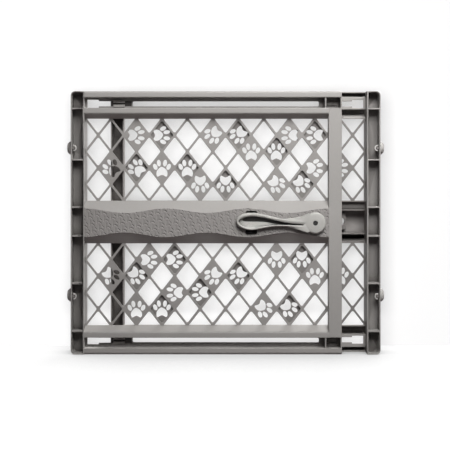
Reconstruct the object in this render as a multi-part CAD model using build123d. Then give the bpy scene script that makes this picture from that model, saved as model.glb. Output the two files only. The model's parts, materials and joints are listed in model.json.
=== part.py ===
from build123d import *
import os
from math import cos, pi, radians, sin, sqrt

# Sliding two-panel pet gate that is jacked against a doorway by a hand lever.
# Millimetres. +X is the width, the front faces -Y, +Z is up. The origin is on the floor,
# under the middle of the bounding box. The front panel carries the lever; the rear panel is
# the same moulding turned half a turn about a vertical line midway between the two panels.
# "depth" is measured from a panel's own face towards the middle of the gate, and "drop"
# is measured from the gate's top edge downwards.

# ---- overall sizes ----
gate_height = 584.2
panel_depth = 24.0
panel_gap = 2.8
closed_room = 7.8
extension = 355.6

# ---- lattice: diamonds counted in half pitches ----
half_pitch_x = 28.6
half_pitch_z = 36.8
half_pitches_across = 19
half_pitches_up = 5
offset_half_pitches = 3
lattice_thickness = 3.0
strand_width = 4.7
gusset_radius = 3.5

# ---- frame of each panel ----
wall = 2.5
column_width = 29.5
post_width = 29.0
rail_height = 60.4
outer_bar_height = 13.4
channel_height = 23.6
inner_bar_height = 12.5
web_thickness = 3.0
bar_outer_radius = 5.0
bar_edge_radius = 1.0
slope_edge_radius = 5.0

# ---- end column ----
column_outer_wall = 2.4
column_corner_radius = 9.5
column_web_thickness = 3.0
column_rib_thickness = 3.0
column_rib_heights = (-241.0, -135.0, -29.5, 34.3, 139.8, 253.2)

# ---- keyhole slot and the glide that runs in the other panel's slot ----
slot_height = 11.4
slot_offset = 1.7
keyhole_height = 18.0
keyhole_length = 25.6
keyhole_margin = 4.4
slot_end_margin = 19.9
slot_end_radius = 3.4
partition_offset = 8.0
glide_length = 46.5
glide_clearance = 0.25
glide_end_inset = 0.5
lip_length = 25.5
lip_height = 6.0
lip_thickness = 3.0
lip_split = 3.8
lip_inset = 6.3
lip_front_radius = 1.0
lip_back_radius = 1.4
relief_length = 21.6
relief_height = 2.4

# ---- middle rail and its wavy grip ----
grip_thickness = 1.0
grip_half_height = 27.0
grip_wave = 5.0
grip_waves = 3
finger_window_width = 25.0
finger_window_height = 53.0
finger_window_radius = 4.0
finger_window_to_pivot = 141.0
boss_radius = 14.0

# ---- rear middle rail and rack ----
rear_face_half_height = 34.0
rear_face_radius = 2.0
guide_rib_offset = 25.0
guide_rib_thickness = 3.0
guide_rib_setback = 0.6
rack_height = 36.0
rack_thickness = 5.0
rack_margin = 16.0
rack_leg = 2.5
rack_end_room = 1.0
rack_corner_radius = 3.0
rack_tooth_pitch = 5.4
rack_tooth_depth = 2.6

# ---- lever ----
pivot_inset = 30.8
lever_proud = 12.0
lever_lift = 2.0
lever_tilt = 1.5
head_radius = 24.0
flank_angle = 62.0
waist_distance = 66.0
waist_half_width = 9.5
loop_distance = 139.0
loop_half_width = 19.5
tip_distance = 174.5
loop_opening_half_width = 12.0
loop_opening_end = 168.0
loop_opening_start = 40.0
loop_opening_neck = 1.8
lever_edge_radius = 2.5
hub_hole_radius = 5.4
hub_hole_depth = 6.0
hub_floor = 2.0
tenon_side = 10.0
fit_clearance = 0.1
washer_radius = 20.0
running_clearance = 0.3

# ---- lever shaft with its toothed cam ----
shaft_radius = 8.0
shaft_clearance = 0.1
cam_teeth = 8
cam_tooth_depth = 2.6
cam_flange_radius = 13.0
cam_flange_thickness = 3.2
entry_clearance = 1.0
screw_radius = 2.0
screw_head_radius = 4.5
screw_head_height = 2.6
screw_length = 18.0
screw_recess_width = 1.1
screw_recess_depth = 1.4

# ---- bumpers ----
bumper_offset = 165.0
bumper_length = 10.6
bumper_base_radius = 14.0
bumper_tip_radius = 9.2
bumper_edge_radius = 1.2
stem_radius = 3.1
barb_radius = 4.4
barb_length = 3.6
base_rim = 1.5
barb_step = 0.2
keeper_radius = 5.0
keeper_wall = 2.4

# ---- paw cut-outs: column, row and turn in degrees, counted from the window's top left ----
paw_turns_upper = (
    (4, 1, -90), (10, 1, 135), (13, 2, 0), (16, 1, 90), (2, 3, 45),
    (6, 3, 0), (9, 4, 180), (15, 4, -135), (18, 3, -90),
)
paw_turns_lower = (
    (5, 1, -90), (2, 2, -135), (7, 3, 90), (4, 4, 0),
    (10, 2, 135), (15, 1, 180), (14, 4, -135), (18, 2, 0),
)
rear_paw_shift = -1

# ---- paw shape ----
pad_half_width = 14.5
pad_top = 2.4
pad_bottom = -19.4
pad_notch = -15.6
inner_toe = (6.9, 10.9, 4.5, 7.5, -8.0)
outer_toe = (15.0, 2.6, 4.7, 7.2, -24.0)

# ---- values worked out from the sizes above ----
window_width = half_pitches_across * half_pitch_x
window_height = half_pitches_up * half_pitch_z
mid_rail_height = gate_height - 2 * rail_height - 2 * window_height
panel_width = column_width + window_width + post_width
frame_width = panel_width + offset_half_pitches * half_pitch_x
total_depth = 2 * panel_depth + panel_gap
face_y = lever_proud / 2 - total_depth / 2
back_y = face_y + total_depth
middle_y = (face_y + back_y) / 2
middle_z = gate_height / 2
front_left = -frame_width / 2
front_right = front_left + panel_width
window_left = front_left + column_width
window_right = window_left + window_width
rest_width = frame_width + 2 * bumper_length
slide_in = closed_room + column_width - offset_half_pitches * half_pitch_x
slide_out = slide_in + extension
pivot_x = window_right - pivot_inset
slot_drop = outer_bar_height + channel_height / 2 + slot_offset
slot_right = window_right - slot_end_margin


# ---- small shape helpers ----
def outline(corners):
    """Closed face from (a, b) or (a, b, radius) corners."""
    face = make_face(Polyline(*[corner[:2] for corner in corners], close=True))
    for corner in corners:
        if len(corner) == 3:
            nearest = face.vertices().sort_by_distance((corner[0], corner[1], 0))[0]
            face = fillet(nearest, corner[2])
    return face


def along_x(face, x_start, x_end):
    """Extrude a face drawn in (y, z) from one x to another."""
    return Pos(x_start, 0, 0) * extrude(Plane.YZ * face, amount=x_end - x_start)


def along_y(face, y_start, y_end):
    """Extrude a face drawn in (x, z) from one y to another."""
    return Pos(0, y_end, 0) * extrude(Plane.XZ * face, amount=y_end - y_start)


def block(x_start, x_end, y_start, y_end, z_start, z_end):
    size = (x_end - x_start, y_end - y_start, z_end - z_start)
    return Pos(x_start, y_start, z_start) * Box(*size, align=(Align.MIN,) * 3)


def rod_y(x, z, radius, y_start, y_end):
    """Round bar along Y."""
    return Pos(x, (y_start + y_end) / 2, z) * Rot(90, 0, 0) * Cylinder(radius, y_end - y_start)


def turned(shape):
    """The front panel's piece as it stands on the rear panel."""
    return shape.rotate(Axis((0, middle_y, 0), (0, 0, 1)), 180)


def flipped(shape):
    """The top piece as it stands at the bottom."""
    return shape.mirror(Plane((0, 0, middle_z), z_dir=(0, 0, 1)))


def save(shape, name):
    export_step(shape, "parts/" + name + ".step")


# ---- end column: an I-shaped post with ribbed compartments on both sides ----
def end_column():
    left = front_left
    right = front_left + column_width
    face = outline((
        (left, 0, column_corner_radius),
        (left, gate_height, column_corner_radius),
        (right, gate_height),
        (right, 0),
    ))
    body = along_y(face, face_y, back_y)
    edges = [wall]
    for height in column_rib_heights:
        edges.append(middle_z + height - column_rib_thickness / 2)
        edges.append(middle_z + height + column_rib_thickness / 2)
    edges.append(gate_height - wall)
    web_front = middle_y - column_web_thickness / 2
    web_back = middle_y + column_web_thickness / 2
    inner_left = left + column_outer_wall
    inner_right = right - wall
    inner_radius = column_corner_radius - column_outer_wall
    for low, high in zip(edges[0::2], edges[1::2]):
        lower_left = (inner_left, low, inner_radius) if low == wall else (inner_left, low)
        upper_left = (inner_left, high)
        if high == gate_height - wall:
            upper_left = (inner_left, high, inner_radius)
        cell = outline((lower_left, upper_left, (inner_right, high), (inner_right, low)))
        body -= along_y(cell, face_y, web_front)
        body -= along_y(cell, web_back, back_y)
    for side in (-1, 1):
        z = middle_z + side * bumper_offset
        keeper = rod_y(inner_left, z, keeper_radius + keeper_wall, face_y, back_y)
        keeper -= rod_y(inner_left, z, keeper_radius, face_y, back_y)
        reach = keeper_radius + keeper_wall
        half = block(inner_left, inner_left + reach, face_y, back_y, z - reach, z + reach)
        inside = rod_y(inner_left, z, keeper_radius, web_front, web_back)
        body -= inside & half
        body += keeper & half
        hole = Pos(left, middle_y, z) * Rot(0, 90, 0) * Cylinder(
            stem_radius + fit_clearance, 2 * column_outer_wall
        )
        body -= hole
    return body


# ---- top rail: two hollow bars with a slotted channel between them ----
def rail_section(with_slope):
    """Section as (y, z); the slope runs from the inner bar back to the lattice."""
    web_depth = panel_depth - web_thickness
    inner_drop = outer_bar_height + channel_height
    slope_drop = inner_drop + inner_bar_height
    corners = [
        (panel_depth, 0),
        (0, 0, bar_outer_radius),
        (0, outer_bar_height, bar_edge_radius),
        (web_depth, outer_bar_height),
        (web_depth, inner_drop),
        (0, inner_drop, bar_edge_radius),
    ]
    hollows = [[
        (wall, wall), (panel_depth, wall),
        (panel_depth, outer_bar_height - wall), (wall, outer_bar_height - wall),
    ]]
    if with_slope:
        lattice_depth = panel_depth - lattice_thickness
        fall = (rail_height - slope_drop) / lattice_depth
        skin = wall * sqrt(1 + fall ** 2)
        corners += [
            (0, slope_drop, slope_edge_radius),
            (lattice_depth, rail_height), (panel_depth, rail_height),
        ]
        hollows.append([
            (wall, inner_drop + wall), (panel_depth, inner_drop + wall),
            (panel_depth, rail_height - skin), (lattice_depth, rail_height - skin),
            (wall, slope_drop + wall * fall - skin),
        ])
    else:
        corners += [(0, inner_drop + wall), (panel_depth, inner_drop + wall)]

    def placed(points):
        return outline([
            (face_y + point[0], gate_height - point[1], *point[2:]) for point in points
        ])

    section = placed(corners)
    for hollow in hollows:
        section -= placed(hollow)
    return section


def keyhole():
    """Slot for the other panel's glide, wide at the column so that the glide can enter."""
    z = gate_height - slot_drop
    start = window_left + keyhole_margin
    narrow = slot_height / 2
    return outline((
        (start, z - keyhole_height / 2),
        (start, z + keyhole_height / 2),
        (start + keyhole_length, z + keyhole_height / 2),
        (start + keyhole_length, z + narrow),
        (slot_right, z + narrow, slot_end_radius),
        (slot_right, z - narrow, slot_end_radius),
        (start + keyhole_length, z - narrow),
        (start + keyhole_length, z - keyhole_height / 2),
    ))


def top_rail():
    back = face_y + panel_depth
    web_front = back - web_thickness
    body = along_x(rail_section(True), window_left, window_right)
    body += along_x(rail_section(False), window_right, front_right)
    channel_top = gate_height - outer_bar_height
    channel_bottom = channel_top - channel_height
    partition = window_right - partition_offset
    for x in (partition, front_right - wall):
        body += block(x, x + wall, face_y + bar_edge_radius, back, channel_bottom, channel_top)
    end_wall = front_right - wall
    body += block(end_wall, front_right, face_y + wall, back, channel_top, gate_height - wall)
    body -= along_y(keyhole(), web_front, back)
    slit_start = partition + 2 * wall
    for side in (-1, 1):
        z = gate_height - slot_drop + side * (slot_height - relief_height / 2) / 2
        body -= block(slit_start, slit_start + relief_length, web_front, back,
                      z - relief_height / 2, z + relief_height / 2)
    return body


# ---- inner post: the free upright edge of a panel, open at the back ----
def inner_post():
    drop = outer_bar_height + channel_height + wall
    back = face_y + panel_depth
    section = outline((
        (window_right, face_y, bar_edge_radius), (front_right, face_y, bar_edge_radius),
        (front_right, back), (window_right, back),
    ))
    section -= outline((
        (window_right + wall, face_y + wall), (front_right - wall, face_y + wall),
        (front_right - wall, back), (window_right + wall, back),
    ))
    return Pos(0, 0, drop) * extrude(section, amount=gate_height - 2 * drop)


# ---- glide: split block on the post's end that hooks through the other panel's slot ----
def top_glide():
    z = gate_height - slot_drop
    mount = face_y + panel_depth
    far_web = mount + panel_gap + web_thickness
    x_end = front_right - glide_end_inset
    half = slot_height / 2 - glide_clearance
    body = block(x_end - glide_length, x_end, mount, far_web + running_clearance,
                 z - half, z + half)
    lip_end = x_end - lip_inset
    lip_top = lip_split / 2 + lip_height
    lip_start = far_web + running_clearance
    lip = outline((
        (lip_start, z - lip_top, lip_front_radius),
        (lip_start, z + lip_top, lip_front_radius),
        (lip_start + lip_thickness, z + lip_top, lip_back_radius),
        (lip_start + lip_thickness, z - lip_top, lip_back_radius),
    ))
    body += along_x(lip, lip_end - lip_length, lip_end)
    split_start = far_web - web_thickness
    body -= block(lip_end - lip_length, lip_end, split_start, lip_start + lip_thickness,
                  z - lip_split / 2, z + lip_split / 2)
    return body


# ---- lattice: a thin grille of diamonds, some filled and pierced by a paw ----
def diamond(x, z, inset):
    """Diamond opening whose sides lie the given distance inside the pitch lines."""
    reach = half_pitch_x * half_pitch_z / sqrt(half_pitch_x ** 2 + half_pitch_z ** 2)
    share = (reach - inset) / reach
    across = half_pitch_x * share
    up = half_pitch_z * share
    return outline((
        (x - across, z, gusset_radius), (x, z + up, gusset_radius),
        (x + across, z, gusset_radius), (x, z - up, gusset_radius),
    ))


def paw():
    """Five cut-outs about the paw's centre, toes up."""
    lobe = (pad_half_width * 0.86, pad_bottom * 0.55)
    pad = make_face(
        Spline(
            (0, pad_top), (pad_half_width * 0.55, pad_top * -0.9), lobe,
            (pad_half_width * 0.7, pad_bottom), (0, pad_notch),
            (-pad_half_width * 0.7, pad_bottom), (-lobe[0], lobe[1]),
            (-pad_half_width * 0.55, pad_top * -0.9),
            periodic=True,
        )
    )
    shapes = [pad]
    for x, z, half_width, half_height, lean in (inner_toe, outer_toe):
        for side in (-1, 1):
            toe = Ellipse(half_width, half_height, rotation=side * lean)
            shapes.append(Pos(side * x, z) * toe)
    return shapes


def lattice(left, bottom, y_start, y_end, opening_parity, paws):
    top = bottom + window_height
    body = block(left, left + window_width, y_start, y_end, bottom, top)
    pawed = {(column, row): turn for column, row, turn in paws}
    cuts = []
    for row in range(half_pitches_up + 1):
        for column in range(half_pitches_across + 1):
            x = left + column * half_pitch_x
            z = top - row * half_pitch_z
            if (column + row) % 2 != opening_parity:
                continue
            if (column, row) in pawed:
                turn = pawed[(column, row)]
                cuts += [Pos(x, z) * Rot(0, 0, turn) * shape for shape in paw()]
            else:
                cuts.append(diamond(x, z, strand_width / 2))
    return body - [along_y(cut, y_start, y_end) for cut in cuts]


# ---- middle rail of the front panel: wavy face, slopes back to the lattice ----
def wave_height(x):
    phase = 2 * pi * grip_waves * (x - window_left) / window_width
    return grip_half_height + grip_wave * cos(phase)


def wavy_face(inset):
    """Front face between the two wavy edges, as (x, z)."""
    start = window_left + inset
    end = window_right - inset
    count = 8 * grip_waves
    stations = [start + (end - start) * step / count for step in range(count + 1)]
    upper = [(x, middle_z + wave_height(x) - inset) for x in stations]
    lower = [(x, middle_z - wave_height(x) + inset) for x in reversed(stations)]
    return make_face([
        Spline(*upper), Line(upper[-1], lower[0]), Spline(*lower), Line(lower[-1], upper[0]),
    ])


def wavy_block(inset, y_front, y_lattice, y_back):
    """Ruled solid from the wavy face to the straight edge at the lattice."""
    half = mid_rail_height / 2 - inset
    start = window_left + inset
    end = window_right - inset
    far = outline((
        (start, middle_z + half), (end, middle_z + half),
        (end, middle_z - half), (start, middle_z - half),
    ))
    near_face = (Pos(0, y_front, 0) * (Plane.XZ * wavy_face(inset))).face()
    far_face = (Pos(0, y_lattice, 0) * (Plane.XZ * far)).face()
    return loft([near_face, far_face], ruled=True) + along_y(far, y_lattice, y_back)


def finger_window():
    x = pivot_x - finger_window_to_pivot
    return Pos(x, middle_z) * RectangleRounded(
        finger_window_width, finger_window_height, finger_window_radius
    )


def front_middle_rail():
    skin_y = face_y + grip_thickness
    back = face_y + panel_depth
    lattice_y = back - lattice_thickness
    body = wavy_block(0, skin_y, lattice_y, back)
    body -= wavy_block(wall, skin_y + wall, lattice_y, back)
    body += rod_y(pivot_x, middle_z, boss_radius, skin_y + wall / 2, back)
    body -= rod_y(pivot_x, middle_z, shaft_radius + shaft_clearance, face_y, back)
    return body - along_y(finger_window(), face_y, skin_y + 2 * wall)


def grip_band():
    body = along_y(wavy_face(0), face_y, face_y + grip_thickness)
    body -= rod_y(pivot_x, middle_z, shaft_radius + shaft_clearance, face_y - 1, 0)
    return body - along_y(finger_window(), face_y, face_y + grip_thickness)


# ---- middle rail of the rear panel: straight, with the rack facing forwards ----
def rear_depth(depth):
    return back_y - depth


def rear_middle_rail():
    half = mid_rail_height / 2
    lattice_depth = panel_depth - lattice_thickness
    fall = (half - rear_face_half_height) / lattice_depth
    skin = wall * sqrt(1 + fall ** 2)
    rib_top = guide_rib_offset + guide_rib_thickness
    rail = [(panel_depth, half), (lattice_depth, half), (0, rear_face_half_height, rear_face_radius)]
    middle = [(panel_depth, guide_rib_offset), (wall, guide_rib_offset)]
    wing = [(panel_depth, rib_top), (wall, rib_top),
            (wall, rear_face_half_height + wall * fall - skin),
            (lattice_depth, half - skin), (panel_depth, half - skin)]

    def below(points):
        return [(point[0], -point[1], *point[2:]) for point in reversed(points)]

    def placed(points):
        return outline([
            (rear_depth(point[0]), middle_z + point[1], *point[2:]) for point in points
        ])

    section = placed(rail + below(rail))
    for hollow in (middle + below(middle), wing, below(wing)):
        section -= placed(hollow)
    body = along_x(section, -window_right, -window_left)
    rib_front = rear_depth(panel_depth)
    body -= block(-window_right, -window_left, rib_front, rib_front + guide_rib_setback,
                  middle_z - rib_top, middle_z + rib_top)
    entry_x = shaft_travel()[1]
    entry_radius = cam_flange_radius + entry_clearance
    return body - rod_y(entry_x, middle_z, entry_radius, rear_depth(2 * wall), back_y)


def slot_half_height():
    return shaft_radius + shaft_clearance + running_clearance


def shaft_travel():
    """X of the slot's two round ends, with room past the shaft's last places."""
    return pivot_x - slide_out - rack_end_room, pivot_x - slide_in + rack_end_room


def shaft_slot():
    start, end = shaft_travel()
    half = slot_half_height()
    return Pos((start + end) / 2, middle_z) * SlotOverall(end - start + 2 * half, 2 * half)


def rack_depths():
    """Y of the rack plate's front and back and of the web behind the cam's flange."""
    web_front = rear_depth(wall)
    plate_back = web_front - cam_flange_thickness - 2 * running_clearance
    return plate_back - rack_thickness, plate_back, web_front


def rack_strip():
    """Plate with a toothed slot, on two legs that leave room for the cam's flange."""
    start, end = shaft_travel()
    half = slot_half_height()
    width = end - start + 2 * half + 2 * rack_margin
    plate = Pos((start + end) / 2, middle_z) * RectangleRounded(
        width, rack_height, rack_corner_radius
    )
    plate -= shaft_slot()
    edge = middle_z - half
    teeth = int((end - start) / rack_tooth_pitch)
    comb = [(start, edge + 1)]
    for tooth in range(teeth):
        x = start + tooth * rack_tooth_pitch
        comb += [
            (x + 0.2 * rack_tooth_pitch, edge),
            (x + 0.4 * rack_tooth_pitch, edge - rack_tooth_depth),
            (x + 0.7 * rack_tooth_pitch, edge - rack_tooth_depth),
            (x + 0.9 * rack_tooth_pitch, edge),
        ]
    comb.append((start + teeth * rack_tooth_pitch, edge + 1))
    plate -= outline(comb)
    plate_front, plate_back, web_front = rack_depths()
    body = along_y(plate, plate_front, plate_back)
    left = (start + end - width) / 2 + rack_corner_radius
    right = (start + end + width) / 2 - rack_corner_radius
    for z in (middle_z - rack_height / 2, middle_z + rack_height / 2 - rack_leg):
        body += block(left, right, plate_back, web_front, z, z + rack_leg)
    return body


# ---- lever: loop handle and hub, drawn along +X from the pivot and then placed ----
def lever_plan():
    angle = radians(flank_angle)
    leave = (head_radius * cos(angle), head_radius * sin(angle))
    flank = Spline(
        leave, (waist_distance, waist_half_width), (loop_distance, loop_half_width),
        (tip_distance, 0),
        tangents=((sin(angle), -cos(angle)), (0, -1)),
    )
    half = make_face([
        flank, Line((tip_distance, 0), (0, 0)), Line((0, 0), leave),
    ])
    return half + half.mirror(Plane.XZ) + Circle(head_radius)


def loop_opening_plan():
    edge = Spline(
        (loop_opening_start, 0), (waist_distance, loop_opening_neck),
        (loop_distance, loop_opening_half_width), (loop_opening_end, 0),
        tangents=((0.3, 1), (0, -1)),
    )
    half = make_face([edge, Line((loop_opening_end, 0), (loop_opening_start, 0))])
    return half + half.mirror(Plane.XZ)


def on_gate(face):
    """Turn a lever plan to its place: the handle points left, its tip slightly up."""
    return Pos(pivot_x, middle_z) * Rot(0, 0, 180 - lever_tilt) * face


def lever():
    front = face_y - lever_proud
    back = face_y - lever_lift
    body = along_y(on_gate(lever_plan()), front, back)
    rim = body.faces().sort_by(Axis.Y)[0].edges()
    body = fillet(rim, lever_edge_radius)
    body -= along_y(on_gate(loop_opening_plan()), front, back)
    floor = front + hub_hole_depth
    body -= rod_y(pivot_x, middle_z, hub_hole_radius, front, floor)
    body -= rod_y(pivot_x, middle_z, screw_radius + fit_clearance, front, back)
    side = tenon_side + 2 * fit_clearance
    socket = on_gate(Rectangle(side, side))
    return body - along_y(socket, floor + hub_floor, back)


def lever_washer():
    body = rod_y(pivot_x, middle_z, washer_radius, face_y - lever_lift,
                 face_y - running_clearance)
    return body - rod_y(pivot_x, middle_z, shaft_radius + fit_clearance,
                        face_y - lever_lift, face_y - running_clearance)


def lever_cam():
    """Shaft, toothed cam in the rack's slot and the flange that runs behind the rack."""
    plate_front, plate_back, web_front = rack_depths()
    body = rod_y(pivot_x, middle_z, shaft_radius, face_y - lever_lift, plate_front)
    tip = shaft_radius + shaft_clearance
    root = tip - cam_tooth_depth
    teeth = []
    for tooth in range(cam_teeth):
        for share, radius in ((0.0, root), (0.3, root), (0.45, tip), (0.85, tip)):
            angle = 2 * pi * (tooth + share) / cam_teeth
            teeth.append((pivot_x + radius * cos(angle), middle_z + radius * sin(angle)))
    flange_front = plate_back + running_clearance
    body += along_y(outline(teeth), plate_front, flange_front)
    body += rod_y(pivot_x, middle_z, cam_flange_radius, flange_front,
                  web_front - running_clearance)
    tenon_front = face_y - lever_proud + hub_hole_depth + hub_floor
    body += along_y(on_gate(Rectangle(tenon_side, tenon_side)), tenon_front,
                    face_y - lever_lift)
    seat = face_y - lever_proud + hub_hole_depth
    pilot = screw_radius + fit_clearance / 2
    return body - rod_y(pivot_x, middle_z, pilot, seat, seat + screw_length + 1)


def lever_screw():
    seat = face_y - lever_proud + hub_hole_depth
    top = seat - screw_head_height
    body = rod_y(pivot_x, middle_z, screw_head_radius, top, seat)
    body += rod_y(pivot_x, middle_z, screw_radius, seat, seat + screw_length)
    for width, height in ((1, 5), (5, 1)):
        half_x = width * screw_recess_width / 2
        half_z = height * screw_recess_width / 2
        body -= block(pivot_x - half_x, pivot_x + half_x, top, top + screw_recess_depth,
                      middle_z - half_z, middle_z + half_z)
    return body


# ---- bumper: rubber foot with a barbed stem through the column's outer wall ----
def bumper(side):
    inner = column_outer_wall
    profile = make_face(Polyline(
        (0, 0), (0, bumper_base_radius), (-base_rim, bumper_base_radius),
        (-bumper_length, bumper_tip_radius), (-bumper_length, 0), close=True,
    ))
    tip = profile.vertices().sort_by_distance((-bumper_length, bumper_tip_radius, 0))[0]
    profile = fillet(tip, bumper_edge_radius)
    stem = make_face(Polyline(
        (0, 0), (0, stem_radius), (inner + barb_step, stem_radius),
        (inner + 1.5 * barb_step, barb_radius),
        (inner + barb_length, stem_radius / 2), (inner + barb_length, 0), close=True,
    ))
    solid = revolve(profile, Axis.X, 360) + revolve(stem, Axis.X, 360)
    return Pos(front_left, middle_y, middle_z + side * bumper_offset) * solid


os.makedirs("parts", exist_ok=True)

lower_window = rail_height
upper_window = gate_height - rail_height - window_height
front_lattice_y = face_y + panel_depth - lattice_thickness
rear_lattice_y = front_lattice_y + lattice_thickness + panel_gap
rear_left = -window_right


def shifted(paws):
    return [(column + rear_paw_shift, row, turn) for column, row, turn in paws]


column = end_column()
rail = top_rail()
post = inner_post()
glide = top_glide()
save(column, "front_end_column")
save(turned(column), "rear_end_column")
save(rail, "front_top_rail")
save(flipped(rail), "front_bottom_rail")
save(turned(rail), "rear_top_rail")
save(flipped(turned(rail)), "rear_bottom_rail")
save(post, "front_inner_post")
save(turned(post), "rear_inner_post")
save(glide, "front_glide_top")
save(flipped(glide), "front_glide_bottom")
save(turned(glide), "rear_glide_top")
save(flipped(turned(glide)), "rear_glide_bottom")

for name, y, left, parity_shift, moved in (
    ("front", front_lattice_y, window_left, 0, list),
    ("rear", rear_lattice_y, rear_left, 1, shifted),
):
    for level, bottom, parity, paws in (
        ("upper", upper_window, 1, paw_turns_upper),
        ("lower", lower_window, 0, paw_turns_lower),
    ):
        grille = lattice(left, bottom, y, y + lattice_thickness,
                         (parity + parity_shift) % 2, moved(paws))
        save(grille, name + "_lattice_" + level)

save(front_middle_rail(), "front_middle_rail")
save(grip_band(), "grip_band")
save(rear_middle_rail(), "rear_middle_rail")
save(rack_strip(), "rack_strip")

save(lever(), "lever")
save(lever_washer(), "lever_washer")
save(lever_cam(), "lever_cam")
save(lever_screw(), "lever_screw")

for level, side in (("upper", 1), ("lower", -1)):
    foot = bumper(side)
    save(foot, "bumper_left_" + level)
    save(turned(foot), "bumper_right_" + level)

print("slide range mm", round(slide_in, 2), round(slide_out, 2))
print("width closed and open mm", round(rest_width + slide_in, 2), round(rest_width + slide_out, 2))
print("pivot mm", round(pivot_x, 2), round(middle_z, 2), "face y", round(face_y, 2))
print("box y", round(face_y - lever_proud, 2), round(back_y, 2))
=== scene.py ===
import json
from math import cos, pi, radians, sin, sqrt

import bpy
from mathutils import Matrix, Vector


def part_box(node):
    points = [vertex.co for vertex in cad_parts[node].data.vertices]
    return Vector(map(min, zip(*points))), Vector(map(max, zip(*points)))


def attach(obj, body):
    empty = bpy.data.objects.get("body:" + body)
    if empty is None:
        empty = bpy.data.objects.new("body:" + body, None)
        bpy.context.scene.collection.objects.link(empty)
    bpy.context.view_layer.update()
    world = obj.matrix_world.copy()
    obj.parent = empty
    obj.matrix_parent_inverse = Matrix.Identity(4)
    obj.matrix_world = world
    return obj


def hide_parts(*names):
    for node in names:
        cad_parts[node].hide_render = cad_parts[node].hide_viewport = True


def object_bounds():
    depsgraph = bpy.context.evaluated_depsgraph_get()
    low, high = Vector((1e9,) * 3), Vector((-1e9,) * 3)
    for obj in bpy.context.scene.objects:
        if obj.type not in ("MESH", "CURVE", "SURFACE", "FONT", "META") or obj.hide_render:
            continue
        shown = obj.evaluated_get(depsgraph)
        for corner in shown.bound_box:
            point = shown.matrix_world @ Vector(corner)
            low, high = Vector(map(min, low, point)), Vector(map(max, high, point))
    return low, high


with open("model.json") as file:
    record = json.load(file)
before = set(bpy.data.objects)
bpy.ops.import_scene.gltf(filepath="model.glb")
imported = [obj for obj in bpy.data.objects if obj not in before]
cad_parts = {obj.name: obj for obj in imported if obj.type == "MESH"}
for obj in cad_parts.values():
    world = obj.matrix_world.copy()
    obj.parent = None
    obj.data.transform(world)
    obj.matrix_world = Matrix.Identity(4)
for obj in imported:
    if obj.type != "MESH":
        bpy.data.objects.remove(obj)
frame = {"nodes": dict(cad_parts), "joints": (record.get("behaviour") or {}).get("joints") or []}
cad_box = [list(corner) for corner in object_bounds()]
bpy.ops.object.select_all(action="DESELECT")
scene = bpy.context.scene


# ---- Camera ----
# It looks level at the gate's front from two metres. It stands a little above the gate's
# middle and its lens is shifted down, so that upright lines stay upright.
camera_distance = 2.0
camera_aside = -0.00135
camera_rise = 0.165
aim_height = 0.2872
field_width = 0.9985
sensor_width = 36
camera_data = bpy.data.cameras.new("camera")
camera = bpy.data.objects.new("camera", camera_data)
scene.collection.objects.link(camera)
camera.location = (camera_aside, -camera_distance, aim_height + camera_rise)
camera.rotation_euler = (pi / 2, 0, 0)
face_distance = camera_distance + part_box("grip_band")[0][1]
camera_data.sensor_width = sensor_width
camera_data.lens = sensor_width * face_distance / field_width
camera_data.shift_y = -camera_rise / field_width
scene.camera = camera
scene.view_settings.view_transform = "Standard"


# ---- Lights ----
# A broad softbox in front of the gate, above it and to its right, does most of the work. A
# lamp behind gives the back some shape, and a third one only lights the studio paper.
def area_lamp(name, place, target, size, energy, color=(1, 1, 1), spread=180):
    """A rectangular lamp at a place, turned to its target; spread is its beam in degrees."""
    lamp_data = bpy.data.lights.new(name, "AREA")
    lamp_data.shape = "RECTANGLE"
    lamp_data.size, lamp_data.size_y = size
    lamp_data.spread = radians(spread)
    lamp_data.energy = energy
    lamp_data.color = color
    lamp = bpy.data.objects.new(name, lamp_data)
    scene.collection.objects.link(lamp)
    lamp.location = place
    lamp.rotation_euler = (Vector(target) - Vector(place)).to_track_quat("-Z", "Y").to_euler()
    return lamp


gate_middle = (0, 0, 0.29)
softbox = area_lamp("softbox", (0.38, -1.15, 1.58), (0.2, 0, 0.6), (1.0, 0.85), 11.3,
                    (1, 1, 0.99), spread=88)
area_lamp("back_lamp", (0.8, 2.2, 1.6), gate_middle, (1, 1), 90, (1, 0.99, 0.98))
paper_lamp = area_lamp("paper_lamp", (-0.25, -2.3, 0.6), gate_middle, (1.5, 1.5), 62)


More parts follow.
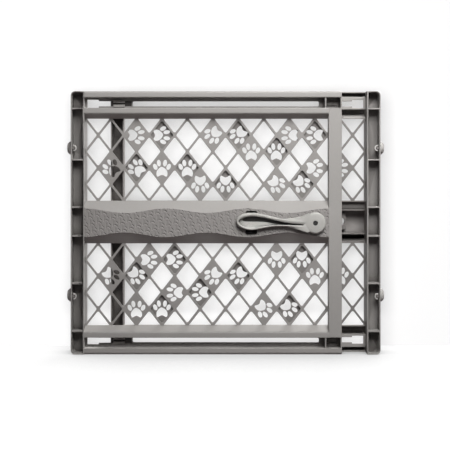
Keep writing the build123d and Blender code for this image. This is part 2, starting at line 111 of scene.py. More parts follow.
# ---- Studio paper ----
# White paper hangs close behind the gate and lies under it, in a dim and slightly warm room.
# It shows almost white, with a faint soft shade round the gate, partly real shadow from the
# paper lamp and partly painted shade in its glow, and is clear from behind.
class Wire:
    """An output socket of a shader, so that shader maths is written as expressions. With no
    socket yet, it only adds nodes to its tree."""

    def __init__(self, tree, socket=None):
        self.tree = tree
        self.socket = socket

    def node(self, kind, settings=(), output=0, **sockets):
        """Add a node: its settings first, then the values or links of its sockets, by name
        or, as _0, _1 and so on, by number."""
        made = self.tree.nodes.new(kind)
        for name, value in dict(settings).items():
            setattr(made, name, value)
        for name, value in sockets.items():
            socket = made.inputs[int(name[1:])] if name[1:].isdigit() else made.inputs[name]
            if isinstance(value, Wire):
                self.tree.links.new(value.socket, socket)
            else:
                socket.default_value = value
        return Wire(self.tree, made.outputs[output])

    def math(self, operation, first, second=0.0):
        """One step of arithmetic on values or links."""
        return self.node("ShaderNodeMath", {"operation": operation}, _0=first, _1=second)

    def __add__(self, other):
        return self.math("ADD", self, other)

    def __radd__(self, other):
        return self.math("ADD", other, self)

    def __sub__(self, other):
        return self.math("SUBTRACT", self, other)

    def __rsub__(self, other):
        return self.math("SUBTRACT", other, self)

    def __mul__(self, other):
        return self.math("MULTIPLY", self, other)

    def __rmul__(self, other):
        return self.math("MULTIPLY", other, self)

    def blend(self, low, high):
        """A colour between low and high, by this value from 0 to 1."""
        return self.node("ShaderNodeMix", {"data_type": "RGBA"}, 2, _0=self, _6=low, _7=high)

    def fade(self, start, end, full=1.0, kind="SMOOTHSTEP"):
        """0 where this value is at start or before it, and full from end on."""
        return self.node("ShaderNodeMapRange", {"interpolation_type": kind}, Value=self,
                         _1=start, _2=end, _3=0.0, _4=full)


def new_material(name):
    """An empty material, and the wire that adds nodes to it."""
    material = bpy.data.materials.new(name)
    material.use_nodes = True
    material.node_tree.nodes.clear()
    return material, Wire(material.node_tree)


def finish_with(shader, kind="ShaderNodeOutputMaterial"):
    """Send the shader to the surface of its material, or of the world."""
    end = shader.tree.nodes.new(kind)
    shader.tree.links.new(shader.socket, end.inputs["Surface"])


def own_place(wire):
    """Where a point lies on its own piece, in metres."""
    return wire.node("ShaderNodeTexCoord", output="Object")


def seen_rays(wire):
    """1 for the rays that show the background: the camera's own, mirrored or let through."""
    camera_ray, glossy_ray, clear_ray = (
        wire.node("ShaderNodeLightPath", output=f"Is {ray} Ray")
        for ray in ("Camera", "Glossy", "Transmission")
    )
    return wire.math("MAXIMUM", camera_ray, wire.math("MAXIMUM", glossy_ray, clear_ray))


glow_fade = 0.05


def studio_paper(name, shade, glow, reach, even_below=None):
    """White paper. Real light makes the share shade of its look, and an even glow the rest.
    The glow dims to a painted shade beside things nearer than reach, but not below the height
    even_below."""
    material, wire = new_material(name)
    place = own_place(wire)
    fibres = wire.node("ShaderNodeTexNoise", Vector=place, Scale=900, Detail=3)
    tone = fibres.blend((0.93, 0.93, 0.93, 1), (0.95, 0.95, 0.95, 1))
    lit = wire.node("ShaderNodeBsdfDiffuse", Color=tone, Roughness=0.5)
    # Painted shade: the glow dims to grey beside things nearer than reach, a soft halo round the
    # gate and a contact shade on the floor.
    open_sky = wire.node("ShaderNodeAmbientOcclusion", {"samples": 12}, "AO", Distance=reach)
    if even_below:
        level = wire.node("ShaderNodeSeparateXYZ", output="Z", Vector=place)
        open_sky = wire.math("MAXIMUM", open_sky, (1 / glow_fade) * (even_below - level))
    grey = open_sky.blend((0.1, 0.1, 0.1, 1), (1, 1, 1, 1))
    even = wire.node("ShaderNodeEmission", Color=grey, Strength=glow)
    shown = wire.node("ShaderNodeMixShader", _0=shade, _1=even, _2=lit)
    front_look = wire.node("ShaderNodeMixShader", _0=seen_rays(wire), _1=lit, _2=shown)
    from_behind = wire.node("ShaderNodeNewGeometry", output="Backfacing")
    clear = wire.node("ShaderNodeBsdfTransparent")
    finish_with(wire.node("ShaderNodeMixShader", _0=from_behind, _1=front_look, _2=clear))
    return material


paper_gap = 0.04
paper_back = cad_box[1][1] + paper_gap
paper_middle = 0.3
paper_size = 2.4
floor_size = 8
floor_drop = 0.0005
bpy.ops.mesh.primitive_plane_add(size=paper_size, location=(0, paper_back, paper_middle),
                                 rotation=(pi / 2, 0, 0))
wall = bpy.context.object
wall.name = "paper_behind"
bpy.ops.object.transform_apply(location=True, rotation=True, scale=True)
wall.data.materials.append(studio_paper("hung_paper", 0.46, 1.16, 0.07, 0.12))
wall.visible_shadow = False
wall.visible_diffuse = False
wall.visible_glossy = False
bpy.ops.object.select_all(action="DESELECT")
bpy.ops.mesh.primitive_plane_add(size=floor_size, location=(0, 0, -floor_drop))
floor = bpy.context.object
floor.name = "paper_floor"
bpy.ops.object.transform_apply(location=True, rotation=True, scale=True)
floor.data.materials.append(studio_paper("laid_paper", 0.12, 1.06, 0.35))
floor.visible_diffuse = False
bpy.ops.object.select_all(action="DESELECT")

# The softbox leaves out the hung paper, and the paper lamp lights nothing but paper.
unlit = bpy.data.collections.new("softbox_leaves_out")
unlit.objects.link(wall)
softbox.light_linking.receiver_collection = unlit
unlit.collection_objects[0].light_linking.link_state = "EXCLUDE"
paper = bpy.data.collections.new("paper_lamp_lights")
paper.objects.link(wall)
paper.objects.link(floor)
paper_lamp.light_linking.receiver_collection = paper

# The room glows faintly from above and more from below, where pale paper throws light up.
world = bpy.data.worlds.new("room")
scene.world = world
world.use_nodes = True
world.node_tree.nodes.clear()
wire = Wire(world.node_tree)
direction = wire.node("ShaderNodeTexCoord", output="Generated")
upward = wire.node("ShaderNodeSeparateXYZ", output="Z", Vector=direction)
up_and_down = wire.math("POWER", wire.math("ABSOLUTE", upward), 3.0)
strength = 0.01 + 0.32 * up_and_down - 0.25 * up_and_down * upward
room_light = wire.node("ShaderNodeBackground", Color=(1.0, 0.82, 0.84, 1), Strength=strength)
room_look = wire.node("ShaderNodeBackground", Color=(1, 1, 1, 1), Strength=1.0)
finish_with(wire.node("ShaderNodeMixShader", _0=seen_rays(wire), _1=room_light,
                      _2=room_look), "ShaderNodeOutputWorld")


# ---- End columns ----
# Each panel ends in a ribbed I-shaped column, injection moulded in one shot with its panel
# from warm grey polypropylene. The mould leaves a fine grain, soft edges and flow marks.
# Painted highlight on convex edges: where it starts and how much paler it makes them.
edge_turn = (0.995, 0.8)
edge_highlight_gain = 1.16
# Painted shade in hollows: how far it looks for walls, and the warm tint of its dim colour.
hollow_reach = 0.025
painted_shade_tint = (1.0, 0.94, 0.91)


def moulded_plastic(name, dark, light, roughness=0.5, grain=0.00006, hollow_shade=0.5,
                    sky=(0.62, 0.25), softness=0.0009, relief=None, inside=None):
    """Satin plastic, mottled from dark to light, with edges rounded by softness and painted
    paler as a painted highlight. Its colour falls, as painted shade, to hollow_shade of itself
    in hollows that see less open space than sky says, and by the share of painted shade that
    inside gives. relief adds a height to the grain."""
    material, wire = new_material(name)
    place = own_place(wire)
    flow = wire.node("ShaderNodeTexNoise", Vector=place, Scale=9, Detail=2, Distortion=0.6)
    mottle = wire.node("ShaderNodeTexNoise", Vector=place, Scale=170, Detail=5)
    pores = wire.node("ShaderNodeTexNoise", Vector=place, Scale=1500, Detail=3)
    rounded = wire.node("ShaderNodeBevel", {"samples": 6}, Radius=softness)
    facing = wire.node("ShaderNodeNewGeometry", output="Normal")
    turn = wire.node("ShaderNodeVectorMath", {"operation": "DOT_PRODUCT"}, "Value",
                     _0=rounded, _1=facing)
    edge = turn.fade(*edge_turn, kind="LINEAR")
    # Painted highlight: convex edges get a paler colour, on top of the real rounding of their
    # normals.
    edge_highlight_color = tuple(min(1.0, edge_highlight_gain * part) for part in light[:3]) + (1,)
    color = (flow * 0.6 + mottle * 0.4).blend(dark, light)
    color = (edge * 0.5).blend(color, edge_highlight_color)
    # Painted shade: the colour falls to a dim, warm copy of itself in hollows with little open
    # space.
    open_sky = wire.node("ShaderNodeAmbientOcclusion", {"samples": 8, "only_local": True},
                         "AO", Distance=hollow_reach)
    painted_shade_color = tuple(hollow_shade * tint * part for tint, part in zip(painted_shade_tint, dark)) + (1,)
    color = open_sky.fade(*sky).blend(color, painted_shade_color)
    # More painted shade, where the inside function says.
    if inside:
        color = inside(wire, place).blend(color, painted_shade_color)
    height = pores * grain + mottle * (0.6 * grain)
    if relief:
        height = height + relief(wire, place)
    bumped = wire.node("ShaderNodeBump", Strength=1.0, Distance=1.0, Height=height,
                       Normal=rounded)
    gloss = roughness + 0.12 * mottle - 0.08 * edge
    finish_with(wire.node("ShaderNodeBsdfPrincipled", **{
        "Base Color": color, "Roughness": gloss, "Normal": bumped, "Specular IOR Level": 0.2,
    }))
    return material


def dress(material, *names):
    """Give the named mouldings, whose shapes stay as they are, their material."""
    for name in names:
        slots = frame["nodes"][name].data.materials
        slots.clear()
        slots.append(material)


shell_dark = (0.330, 0.317, 0.306, 1)
shell_light = (0.390, 0.376, 0.364, 1)
column_low, column_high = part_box("front_end_column")
column_middle = (column_low[1] + column_high[1]) / 2
column_half = (column_high[1] - column_low[1]) / 2
column_wall = 0.0024
column_web = 0.003


def column_depth_shade(wire, place):
    """Painted shade: how far a place lies between the column's faces, 0 at either face and more
    at its web, which it darkens.
    """
    depth = wire.node("ShaderNodeSeparateXYZ", output="Y", Vector=place)
    offset = wire.math("ABSOLUTE", depth - column_middle)
    return offset.fade(0.95 * column_half, 0.3 * column_half, full=0.5)


# The column's web is painted darker with depth and in its hollows, as shade.
column_plastic = moulded_plastic("column_grey_plastic", shell_dark, shell_light,
                                 hollow_shade=0.23, sky=(0.5, 0.22), inside=column_depth_shade)


def merged_copy(node, name):
    """A copy of a moulding as a new piece, with its loose triangles merged."""
    piece = bpy.data.objects.new(name, frame["nodes"][node].data.copy())
    scene.collection.objects.link(piece)
    bpy.ops.object.select_all(action="DESELECT")
    bpy.context.view_layer.objects.active = piece
    piece.select_set(True)
    bpy.ops.object.mode_set(mode="EDIT")
    bpy.ops.mesh.select_all(action="SELECT")
    bpy.ops.mesh.remove_doubles(threshold=0.00001)
    bpy.ops.object.mode_set(mode="OBJECT")
    bpy.ops.object.select_all(action="DESELECT")
    return piece


def combine(piece, other, operation, smooth_angle=30):
    """Cut the other shape off the piece or melt it into the piece, and smooth the result."""
    bpy.ops.object.select_all(action="DESELECT")
    bpy.context.view_layer.objects.active = piece
    piece.select_set(True)
    combined = piece.modifiers.new("combined", "BOOLEAN")
    combined.operation = operation
    combined.solver = "EXACT"
    combined.object = other
    bpy.ops.object.modifier_apply(modifier="combined")
    bpy.data.objects.remove(other)
    bpy.ops.object.shade_smooth_by_angle(angle=radians(smooth_angle))
    weigh = piece.modifiers.new("weigh", "WEIGHTED_NORMAL")
    weigh.weight = 90
    weigh.keep_sharp = True
    bpy.ops.object.modifier_apply(modifier="weigh")
    bpy.ops.object.select_all(action="DESELECT")


def put_in_place(piece, material, body, node):
    """Give a finished piece its material and body, and let it stand for its node."""
    piece.data.materials.clear()
    piece.data.materials.append(material)
    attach(piece, body)
    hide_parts(node)


# The stems' bosses stop short of the web in front, where the bumpers' clips stand.
boss_radius = 0.0076
wall_clearance = 0.00004
web_clearance = 0.0003
overshoot = 0.001
trim_front = column_low[1] - overshoot
trim_back = column_middle - column_web / 2 - web_clearance
for side, body, node, inward in (("left", "front_panel", "front_end_column", 1),
                                 ("right", "rear_panel", "rear_end_column", -1)):
    column = merged_copy(node, node + "_trimmed")
    low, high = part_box(node)
    wall_x = (low[0] if inward > 0 else high[0]) + inward * (column_wall + wall_clearance)
    for level in ("upper", "lower"):
        bumper_low, bumper_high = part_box(f"bumper_{side}_{level}")
        bpy.ops.mesh.primitive_cube_add(
            size=1, location=(wall_x + inward * boss_radius / 2, (trim_front + trim_back) / 2,
                              (bumper_low[2] + bumper_high[2]) / 2),
            scale=(boss_radius, trim_back - trim_front, 2 * boss_radius))
        combine(column, bpy.context.object, "DIFFERENCE")
    put_in_place(column, column_plastic, body, node)


# ---- Rails, posts and glides ----
# The top and bottom rails are twin hollow bars with a slotted channel between them. The
# inner post closes the panel, and the glides moulded on its ends run in the other panel's
# slots. The rear post shows its hollow side in a darker grey, which is painted shade, and the
# rear glides have painted shade behind their tips.
rail_plastic = moulded_plastic("rail_grey_plastic", shell_dark, shell_light, hollow_shade=0.2,
                               softness=0.0025)
low_rail_plastic = moulded_plastic("low_rail_grey_plastic", shell_dark, shell_light, hollow_shade=0.2,
                                   softness=0.0005)
dress(rail_plastic, "front_top_rail", "rear_top_rail")
dress(low_rail_plastic, "front_bottom_rail", "rear_bottom_rail")

shell_plastic = moulded_plastic("moulded_grey_plastic", shell_dark, shell_light)
# A darker copy of the grey, painted shade for the rear post's hollow side and the pegs, with
# more painted shade in its hollows.
shaded_copy_plastic = moulded_plastic("shaded_copy_grey_plastic", (0.215, 0.200, 0.192, 1),
                                (0.260, 0.244, 0.234, 1), hollow_shade=0.28, sky=(0.9, 0.4))
dress(shell_plastic, "front_inner_post", "front_glide_top", "front_glide_bottom")
dress(shaded_copy_plastic, "rear_inner_post")

glide_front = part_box("rear_glide_top")[0][1]
tip_depth = 0.0012
tip_fade = 0.001


def shade_behind_tip(wire, place):
    """Painted shade: how far a place lies behind the tip of a glide that points forwards."""
    depth = wire.node("ShaderNodeSeparateXYZ", output="Y", Vector=place)
    tip_back = glide_front + tip_depth
    return depth.fade(tip_back, tip_back + tip_fade, full=0.95)


# Painted shade in the glides' hollows and behind their tips.
glide_plastic = moulded_plastic("glide_grey_plastic", shell_dark, shell_light, hollow_shade=0.1,
                                sky=(0.5, 0.2), inside=shade_behind_tip)
dress(glide_plastic, "rear_glide_top", "rear_glide_bottom")


# ---- Lattices ----
# Thin diamond grilles moulded with the frame. Some diamonds are left solid and pierced with
# a paw, which lets a small dog see through but gives it nothing to climb.
# The rear grille is a darker copy of the front grille: painted shade, for it stands behind the
# front one.
for panel, grille_dark, grille_light in (
        ("front", (0.290, 0.277, 0.268, 1), (0.343, 0.329, 0.318, 1)),
        ("rear", (0.205, 0.194, 0.187, 1), (0.245, 0.233, 0.225, 1))):
    dress(moulded_plastic(f"{panel}_grille_plastic", grille_dark, grille_light),
          f"{panel}_lattice_upper", f"{panel}_lattice_lower")


# ---- Middle rails and rack ----
# The front middle rail has smooth slopes that run back to the lattices. The rear one is open
# to the front, with a shallow web across its upper hollow. It holds the rack plate, whose
# teeth the lever's cam engages, and both are bored where the lever's shaft first goes in.
dress(shell_plastic, "front_middle_rail")
# A darker copy of the grey for the rear middle rail and the rack: painted shade, with deep
# painted shade in their hollows.
shaded_rack_plastic = moulded_plastic("shaded_rack_grey_plastic", (0.178, 0.166, 0.159, 1),
                               (0.215, 0.202, 0.194, 1), hollow_shade=0.08, sky=(0.8, 0.45))
pivot = Vector(next(joint["pos_m"] for joint in frame["joints"]
                    if joint["name"] == "lever_swing"))
bore_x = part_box("front_inner_post")[1][0] + 0.00345
bore_radius = 0.0083
bore_depth = 0.2
rail_low, rail_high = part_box("rear_middle_rail")
web_low = pivot[2] + 0.0265
web_high = rail_high[2] - 0.0053
web_front = rail_low[1] + 0.008
web_thickness = 0.002
web_length = rail_high[0] - rail_low[0] - 0.0002
for node in ("rear_middle_rail", "rack_strip"):
    drilled = merged_copy(node, node + "_drilled")
    bpy.ops.mesh.primitive_cylinder_add(
        vertices=48, radius=bore_radius, depth=bore_depth, location=(bore_x, 0, pivot[2]),
        rotation=(pi / 2, 0, 0))
    combine(drilled, bpy.context.object, "DIFFERENCE")
    if node == "rear_middle_rail":
        bpy.ops.mesh.primitive_cube_add(
            size=1, location=((rail_low[0] + rail_high[0]) / 2, web_front + web_thickness / 2,
                              (web_low + web_high) / 2),
            scale=(web_length, web_thickness, web_high - web_low))
        combine(drilled, bpy.context.object, "UNION")
    put_in_place(drilled, shaded_rack_plastic, "rear_panel", node)


# ---- Grip band ----
# The wavy face of the front middle rail, textured in the mould with a slanting woven relief
# of short grooves, so that wet hands can hold it.
grip_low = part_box("grip_band")[0]
weave_start = (grip_low[0] + 0.02175, grip_low[2] + 0.0348)
weave_pitch = 0.01625
weave_turn = radians(16.3)
weave_depth = 0.0015


def woven_relief(wire, place):
    """Height of the weave: two short slanting grooves and one upright one in each cell."""
    x = wire.node("ShaderNodeSeparateXYZ", output="X", Vector=place) - weave_start[0]
    z = wire.node("ShaderNodeSeparateXYZ", output="Z", Vector=place) - weave_start[1]
    along = (x * cos(weave_turn) + z * sin(weave_turn)) * (1 / weave_pitch)
    across = (x * sin(weave_turn) - z * cos(weave_turn)) * (1 / weave_pitch)

    def groove(shift_along, shift_across, angle, half_length, width, bend=0.0):
        """A groove with rounded ends; its sizes are shares of the weave's pitch."""
        first = along - shift_along
        second = across - shift_across
        first = first - wire.math("ROUND", first)
        second = second - wire.math("ROUND", second)
        turn = radians(angle)
        ahead = first * cos(turn) + second * sin(turn)
        aside = second * cos(turn) - first * sin(turn) + bend * (ahead * ahead)
        beyond = wire.math("MAXIMUM", wire.math("ABSOLUTE", ahead) - half_length, 0.0)
        distance = wire.math("SQRT", beyond * beyond + aside * aside)
        return distance.fade(width, 0.15 * width)

    total = groove(0.0, 0.0, 61, 0.12, 0.105)
    total = total + groove(-0.2, 0.36, 46, 0.21, 0.105, -1.1)
    total = total + 0.5 * groove(0.46, 0.03, 114, 0.3, 0.15)
    return total * -weave_depth


# The grip's grey is darker than the shell's: painted shade for the weave's fine shadows, on top
# of its real relief.
grip_plastic = moulded_plastic("woven_grip_plastic", (0.270, 0.256, 0.248, 1),
                               (0.335, 0.320, 0.310, 1), 0.55, relief=woven_relief)
dress(grip_plastic, "grip_band")


# ---- Lever ----
# A loop handle moulded in a lighter grey plastic, with a raised rim round its opening that
# runs on as two ridges to the round domed head. A black sheet closes the opening at the back
# as painted shade, and one screw holds the head to the cam's shaft.
lever_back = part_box("lever")[1][1]
lever_tilt = radians(1.5)
mm = 0.001

# Stations round the loop, each with the outer edge, the ridge, the inner edge at the front
# and the inner edge at the back, in millimetres from the pivot along and across the handle,
# and then the heights of the ridge and the flank.
lever_stations = (
    ((9, -1), (20, -2.0), (27, -4.3), (27, -4.5), (7.9, 7.2)),
    ((13, 20.0), (25, 1.6), (28.5, -3.6), (28.5, -4.0), (8.9, 8.1)),
    ((30, 13.9), (36, 2.9), (38, -2.9), (38, -3.4), (9.7, 7.6)),
    ((52, 9.4), (52, 3.7), (52, -2.0), (52, -2.8), (9.9, 6.6)),
    ((72, 7.9), (72, 5.5), (72, 0.4), (72, -0.8), (9.9, 6.2)),
    ((93, 11.5), (93, 8.3), (93, 4.6), (93, 3.0), (9.9, 6.2)),
    ((118, 16.6), (118, 13.4), (118, 9.6), (118, 8.2), (9.9, 6.2)),
    ((140, 19.0), (139, 15.6), (138, 11.6), (137, 10.6), (9.9, 6.2)),
    ((159, 16.4), (156, 13.4), (153, 9.8), (149, 9.4), (9.9, 6.2)),
    ((170, 9.8), (167.5, 7.8), (164.5, 5.4), (158, 5.6), (9.9, 6.0)),
    ((175.6, 0), (172.6, 0), (169.6, -0.8), (161.5, 1.6), (9.9, 5.6)),
    ((171.4, -9.8), (168.8, -8.6), (165.6, -7.4), (156, -0.6), (9.9, 6.0)),
    ((159, -16.8), (156.5, -14.9), (154, -12.4), (145, -1.0), (9.9, 6.2)),
    ((140, -19.4), (139, -17.4), (138, -14.4), (131, -0.6), (9.9, 6.2)),
    ((118, -15.6), (118, -13.2), (118, -10.4), (112, -0.8), (9.9, 6.2)),
    ((93, -11.2), (93, -8.4), (93, -6.6), (92, -3.1), (9.9, 6.2)),
    ((72, -10.4), (72, -7.2), (72, -5.4), (72, -4.5), (9.9, 6.2)),
    ((52, -12.2), (52, -7.8), (52, -5.7), (52, -5.0), (9.9, 7.4)),
    ((30, -17.6), (36, -9.0), (38, -5.6), (38, -5.1), (9.4, 8.3)),
    ((13, -20.2), (25, -8.5), (28.5, -5.2), (28.5, -4.9), (8.9, 8.1)),
)
steps_between = 6
ridge_slope = 3.2
ridge_round = 1.2


def smooth_loop(points, share):
    """The place at a share, from 0 to 1, of a smooth closed curve through the points."""
    count = len(points)
    whole = share * count
    index = int(whole) % count
    t = whole - int(whole)
    a, b, c, d = (Vector(points[(index + offset) % count]) for offset in (-1, 0, 1, 2))
    return 0.5 * (2 * b + (c - a) * t + (2 * a - 5 * b + 4 * c - d) * t ** 2
                  + (3 * b - a - 3 * c + d) * t ** 3)


def lever_rows(share):
    """Points across the handle's section at a share of the loop, as (along, across, up)."""
    outer, ridge, front, back, top = (
        smooth_loop([station[index] for station in lever_stations], share) for index in range(5)
    )
    ridge_height, flank_height = top
    flank = outer - ridge
    slope = min(0.62, ridge_slope / flank.length)
    near = min(0.22, ridge_round / flank.length)
    inward = flank.normalized()
    rows = [
        (outer, 0.0),
        (outer, 0.45 * flank_height),
        (outer - 0.15 * inward, 0.8 * flank_height),
        (outer - min(0.9, 0.3 * flank.length) * inward, flank_height),
        (ridge + slope * flank, flank_height + 0.45),
        (ridge + 0.62 * slope * flank, 0.35 * flank_height + 0.65 * ridge_height),
        (ridge + near * flank, ridge_height - 0.35),
        (ridge, ridge_height),
        (ridge.lerp(front, 0.45), ridge_height - 0.3),
        (ridge.lerp(front, 0.8), ridge_height - 1.1),
        (front, ridge_height - 2.1),
        (front.lerp(back, 0.06), 4.6),
        (front.lerp(back, 0.16), 3.1),
        (front.lerp(back, 0.5), 2.3),
        (back, 0.8),
        (back, 0.0),
    ]
    return [(point[0], point[1], height) for point, height in rows]


def on_lever(along, across, up):
    """A place given in millimetres on the handle: along it, across it and off its back."""
    x = -along * cos(lever_tilt) + across * sin(lever_tilt)
    z = along * sin(lever_tilt) + across * cos(lever_tilt)
    return Vector((pivot[0] + x * mm, lever_back - up * mm, pivot[2] + z * mm))


def close_up(piece, smooth_angle):
    """Merge the seams of a freshly shaped piece, turn its faces outwards and smooth it."""
    bpy.context.view_layer.objects.active = piece
    piece.select_set(True)
    bpy.ops.object.mode_set(mode="EDIT")
    bpy.ops.mesh.select_all(action="SELECT")
    bpy.ops.mesh.remove_doubles(threshold=0.00002)
    bpy.ops.mesh.normals_make_consistent(inside=False)
    bpy.ops.object.mode_set(mode="OBJECT")
    bpy.ops.object.shade_smooth_by_angle(angle=radians(smooth_angle))
    bpy.ops.object.select_all(action="DESELECT")


# The handle: the section swept round the loop.
around = steps_between * len(lever_stations)
sections = [lever_rows(step / around) for step in range(around)]
sections.append(sections[0])
rows = len(sections[0])
bpy.ops.mesh.primitive_grid_add(x_subdivisions=around, y_subdivisions=rows)
handle = bpy.context.object
handle.name = "lever_handle"
for index, vertex in enumerate(handle.data.vertices):
    row, step = divmod(index, around + 1)
    vertex.co = on_lever(*sections[step][row % rows])
close_up(handle, 40)


def spun(name, profile, centre, axis, side, steps, smooth_angle):
    """A round piece spun from a profile of distances along the axis and radii, in
    millimetres. The profile is drawn on the given side of the axis."""
    bpy.ops.mesh.primitive_circle_add(vertices=len(profile))
    piece = bpy.context.object
    piece.name = name
    for vertex, (distance, radius) in zip(piece.data.vertices, profile):
        vertex.co = centre + axis * distance * mm + side * radius * mm
    bpy.ops.object.mode_set(mode="EDIT")
    bpy.ops.mesh.select_all(action="SELECT")
    bpy.ops.mesh.spin(steps=steps, angle=2 * pi, center=centre, axis=axis)
    bpy.ops.object.mode_set(mode="OBJECT")
    close_up(piece, smooth_angle)
    return piece


# The head: a low dome with a faint ring, and a round well for the screw. The dome starts at
# its shoulder and ends beside the well.
head_radius = 23.9
shoulder = 1.2
well_radius = 5.4
well_floor = 4.0
well_lip = 0.6
screw_radius = 2.1
dome_foot = 6.5
dome_rise = 3.3
dome_steps = 12
ring_radius = 12.5
ring_half = 0.8
ring_depth = 0.25
dome_width = head_radius - shoulder - well_radius - well_lip
head_profile = [(0.0, screw_radius), (0.0, head_radius - 0.4), (0.5, head_radius),
                (4.6, head_radius), (5.8, head_radius - 0.5)]
for step in range(1, dome_steps + 1):
    radius = head_radius - shoulder - step * dome_width / dome_steps
    height = dome_foot + dome_rise * sqrt(1 - (radius / head_radius) ** 2)
    if abs(radius - ring_radius) < ring_half:
        height -= ring_depth
    head_profile.append((height, radius))
head_profile += [(9.3, well_radius), (well_floor, well_radius), (well_floor, screw_radius)]
head = spun("lever_head", head_profile, Vector((pivot[0], lever_back, pivot[2])),
            Vector((0, -1, 0)), Vector((1, 0, 0)), 72, 35)
combine(handle, head, "UNION", 38)
lever_plastic = moulded_plastic("lever_grey_plastic", (0.425, 0.418, 0.398, 1),
                                (0.490, 0.482, 0.460, 1), 0.42, 0.00003, hollow_shade=0.04,
                                sky=(0.8, 0.5))
put_in_place(handle, lever_plastic, "lever", "lever")

# The shade sheet: a flat black sheet, painted shade, that fills the loop just off the handle's
# back.
shade_sheet_height = 0.9
shade_sheet_thickness = 0.6
bpy.ops.mesh.primitive_circle_add(vertices=around, fill_type="NGON")
shade_sheet = bpy.context.object
shade_sheet.name = "lever_shade_sheet"
for (along, across, _), vertex in zip((rim[-1] for rim in sections), shade_sheet.data.vertices):
    vertex.co = on_lever(along, across, shade_sheet_height)
bpy.ops.object.mode_set(mode="EDIT")
bpy.ops.mesh.select_all(action="SELECT")
bpy.ops.mesh.extrude_region_move(
    TRANSFORM_OT_translate={"value": (0, shade_sheet_thickness * mm, 0)})
bpy.ops.object.mode_set(mode="OBJECT")
close_up(shade_sheet, 30)
shade_sheet.data.materials.append(moulded_plastic("black_shade_sheet_plastic", (0.012, 0.011, 0.011, 1),
                                            (0.02, 0.019, 0.018, 1), 0.55))
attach(shade_sheet, "lever")


# ---- Cam, washer and screw ----
# The shaft with its toothed cam and the washer are moulded in a dark low-friction plastic.
# The screw is steel darkened to near black, painted shade for the deep well in the lever's head
# where it is sunk.
bearing_plastic = moulded_plastic("dark_bearing_plastic", (0.07, 0.066, 0.064, 1),
                                  (0.10, 0.095, 0.092, 1), 0.45)
dress(bearing_plastic, "lever_cam", "lever_washer")

screw_steel, wire = new_material("shade_darkened_steel")
steel_speckle = wire.node("ShaderNodeTexNoise", Vector=own_place(wire), Scale=900, Detail=4)
# Painted shade: the steel's colour is near black, for its deep well.
color = steel_speckle.blend((0.035, 0.034, 0.033, 1), (0.06, 0.058, 0.056, 1))
finish_with(wire.node("ShaderNodeBsdfPrincipled", **{
    "Base Color": color, "Roughness": 0.4 + 0.14 * steel_speckle, "Metallic": 0.8,
}))
dress(screw_steel, "lever_screw")


# ---- Bumpers ----
# Four soft rubber feet that grip the door jambs, each a low dome with a stepped ring. Its
# barbed stem is pushed into the column, where a C-shaped plastic clip, open towards the jamb,
# holds it round a peg.
rubber, wire = new_material("bumper_rubber")
place = own_place(wire)
dust = wire.node("ShaderNodeTexNoise", Vector=place, Scale=260, Detail=5)
pores = wire.node("ShaderNodeTexNoise", Vector=place, Scale=2400, Detail=2)
color = dust.blend((0.44, 0.425, 0.41, 1), (0.54, 0.525, 0.51, 1))
bumped = wire.node("ShaderNodeBump", Strength=1.0, Distance=1.0, Height=pores * 0.00005)
finish_with(wire.node("ShaderNodeBsdfPrincipled", **{
    "Base Color": color, "Roughness": 0.62 + 0.2 * dust, "Normal": bumped,
    "Specular IOR Level": 0.2,
}))
clip_plastic = moulded_plastic("clip_grey_plastic", (0.60, 0.585, 0.565, 1),
                               (0.68, 0.665, 0.64, 1), 0.4, hollow_shade=0.8)

# The foot, the clip and the peg are each modelled once in the middle, for the right side.
middle = Vector((0, 0, 0))
to_jamb = Vector((1, 0, 0))
to_back = Vector((0, 1, 0))
upwards = Vector((0, 0, 1))
foot_profile = [
    (0.0, 14.4), (0.4, 14.6), (5.6, 14.5), (6.3, 14.2), (7.0, 13.6), (7.2, 12.9), (7.5, 12.7),
    (8.9, 11.7), (9.8, 10.8), (10.4, 9.9), (10.6, 9.0), (10.6, 3.2), (10.2, 2.4),
    (10.2, 0.0), (-2.4, 0.0), (-6.0, 0.0), (-6.0, 1.55), (-2.7, 4.4), (-2.6, 3.1), (0.0, 3.1),
]
foot = spun("foot", foot_profile, middle, to_jamb, upwards, 40, 30)
peg_profile = [(1.6, 0), (1.6, 2.6), (2.1, 3.1), (21, 3.1), (21, 0)]
peg = spun("peg", peg_profile, middle, to_back, upwards, 24, 30)

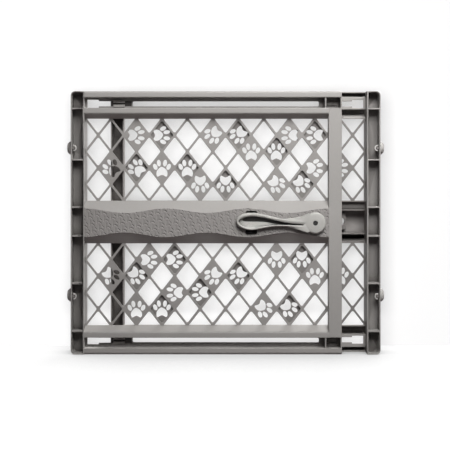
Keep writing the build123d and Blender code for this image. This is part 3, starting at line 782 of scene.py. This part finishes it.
clip_radius = 6.9
clip_wall = 2.2
clip_depth = 3
clip_sweep = radians(190)
corners = [(clip_radius, 0), (clip_radius - clip_wall, 0),
           (clip_radius - clip_wall, clip_depth), (clip_radius, clip_depth)]
bpy.ops.mesh.primitive_circle_add(vertices=4, fill_type="NGON")
clip = bpy.context.object
clip.name = "clip"
for vertex, (radius, depth) in zip(clip.data.vertices, corners):
    vertex.co = (to_back * depth - upwards * radius) * mm
bpy.ops.object.mode_set(mode="EDIT")
bpy.ops.mesh.select_all(action="SELECT")
bpy.ops.mesh.spin(steps=24, angle=-clip_sweep, center=middle, axis=to_back)
bpy.ops.object.mode_set(mode="OBJECT")
close_up(clip, 30)
foot.data.materials.append(rubber)
clip.data.materials.append(clip_plastic)
# The pegs take the darker copy of the grey, as painted shade.
peg.data.materials.append(shaded_copy_plastic)


def set_copy(piece, name, place, outward, body):
    """Copy a piece with its own mesh, mirrored where outward is -1, and fix it in place."""
    bpy.context.view_layer.objects.active = piece
    piece.select_set(True)
    bpy.ops.object.duplicate(linked=False)
    copy = bpy.context.object
    copy.name = name
    copy.location = place
    copy.scale = (outward, 1, 1)
    bpy.ops.object.transform_apply(location=True, rotation=True, scale=True)
    close_up(copy, 30)
    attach(copy, body)
    return copy


stem_lift = 1 * mm
clip_inset = 5.4 * mm
clip_recess = 4 * mm
for side, body, end_column, outward in (("left", "front_panel", "front_end_column", -1),
                                        ("right", "rear_panel", "rear_end_column", 1)):
    low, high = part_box(end_column)
    face_x = low[0] if outward < 0 else high[0]
    clip_front = low[1] + clip_recess
    for level in ("upper", "lower"):
        node = f"bumper_{side}_{level}"
        low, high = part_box(node)
        stem = Vector((face_x, (low[1] + high[1]) / 2, (low[2] + high[2]) / 2 + stem_lift))
        clip_place = Vector((face_x - outward * clip_inset, clip_front, stem.z))
        set_foot = set_copy(foot, node + "_foot", stem, outward, body)
        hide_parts(node)
        set_copy(clip, node + "_clip", clip_place, outward, body)
        set_copy(peg, node + "_peg", clip_place, outward, body)
for piece in (foot, clip, peg):
    bpy.data.objects.remove(piece)
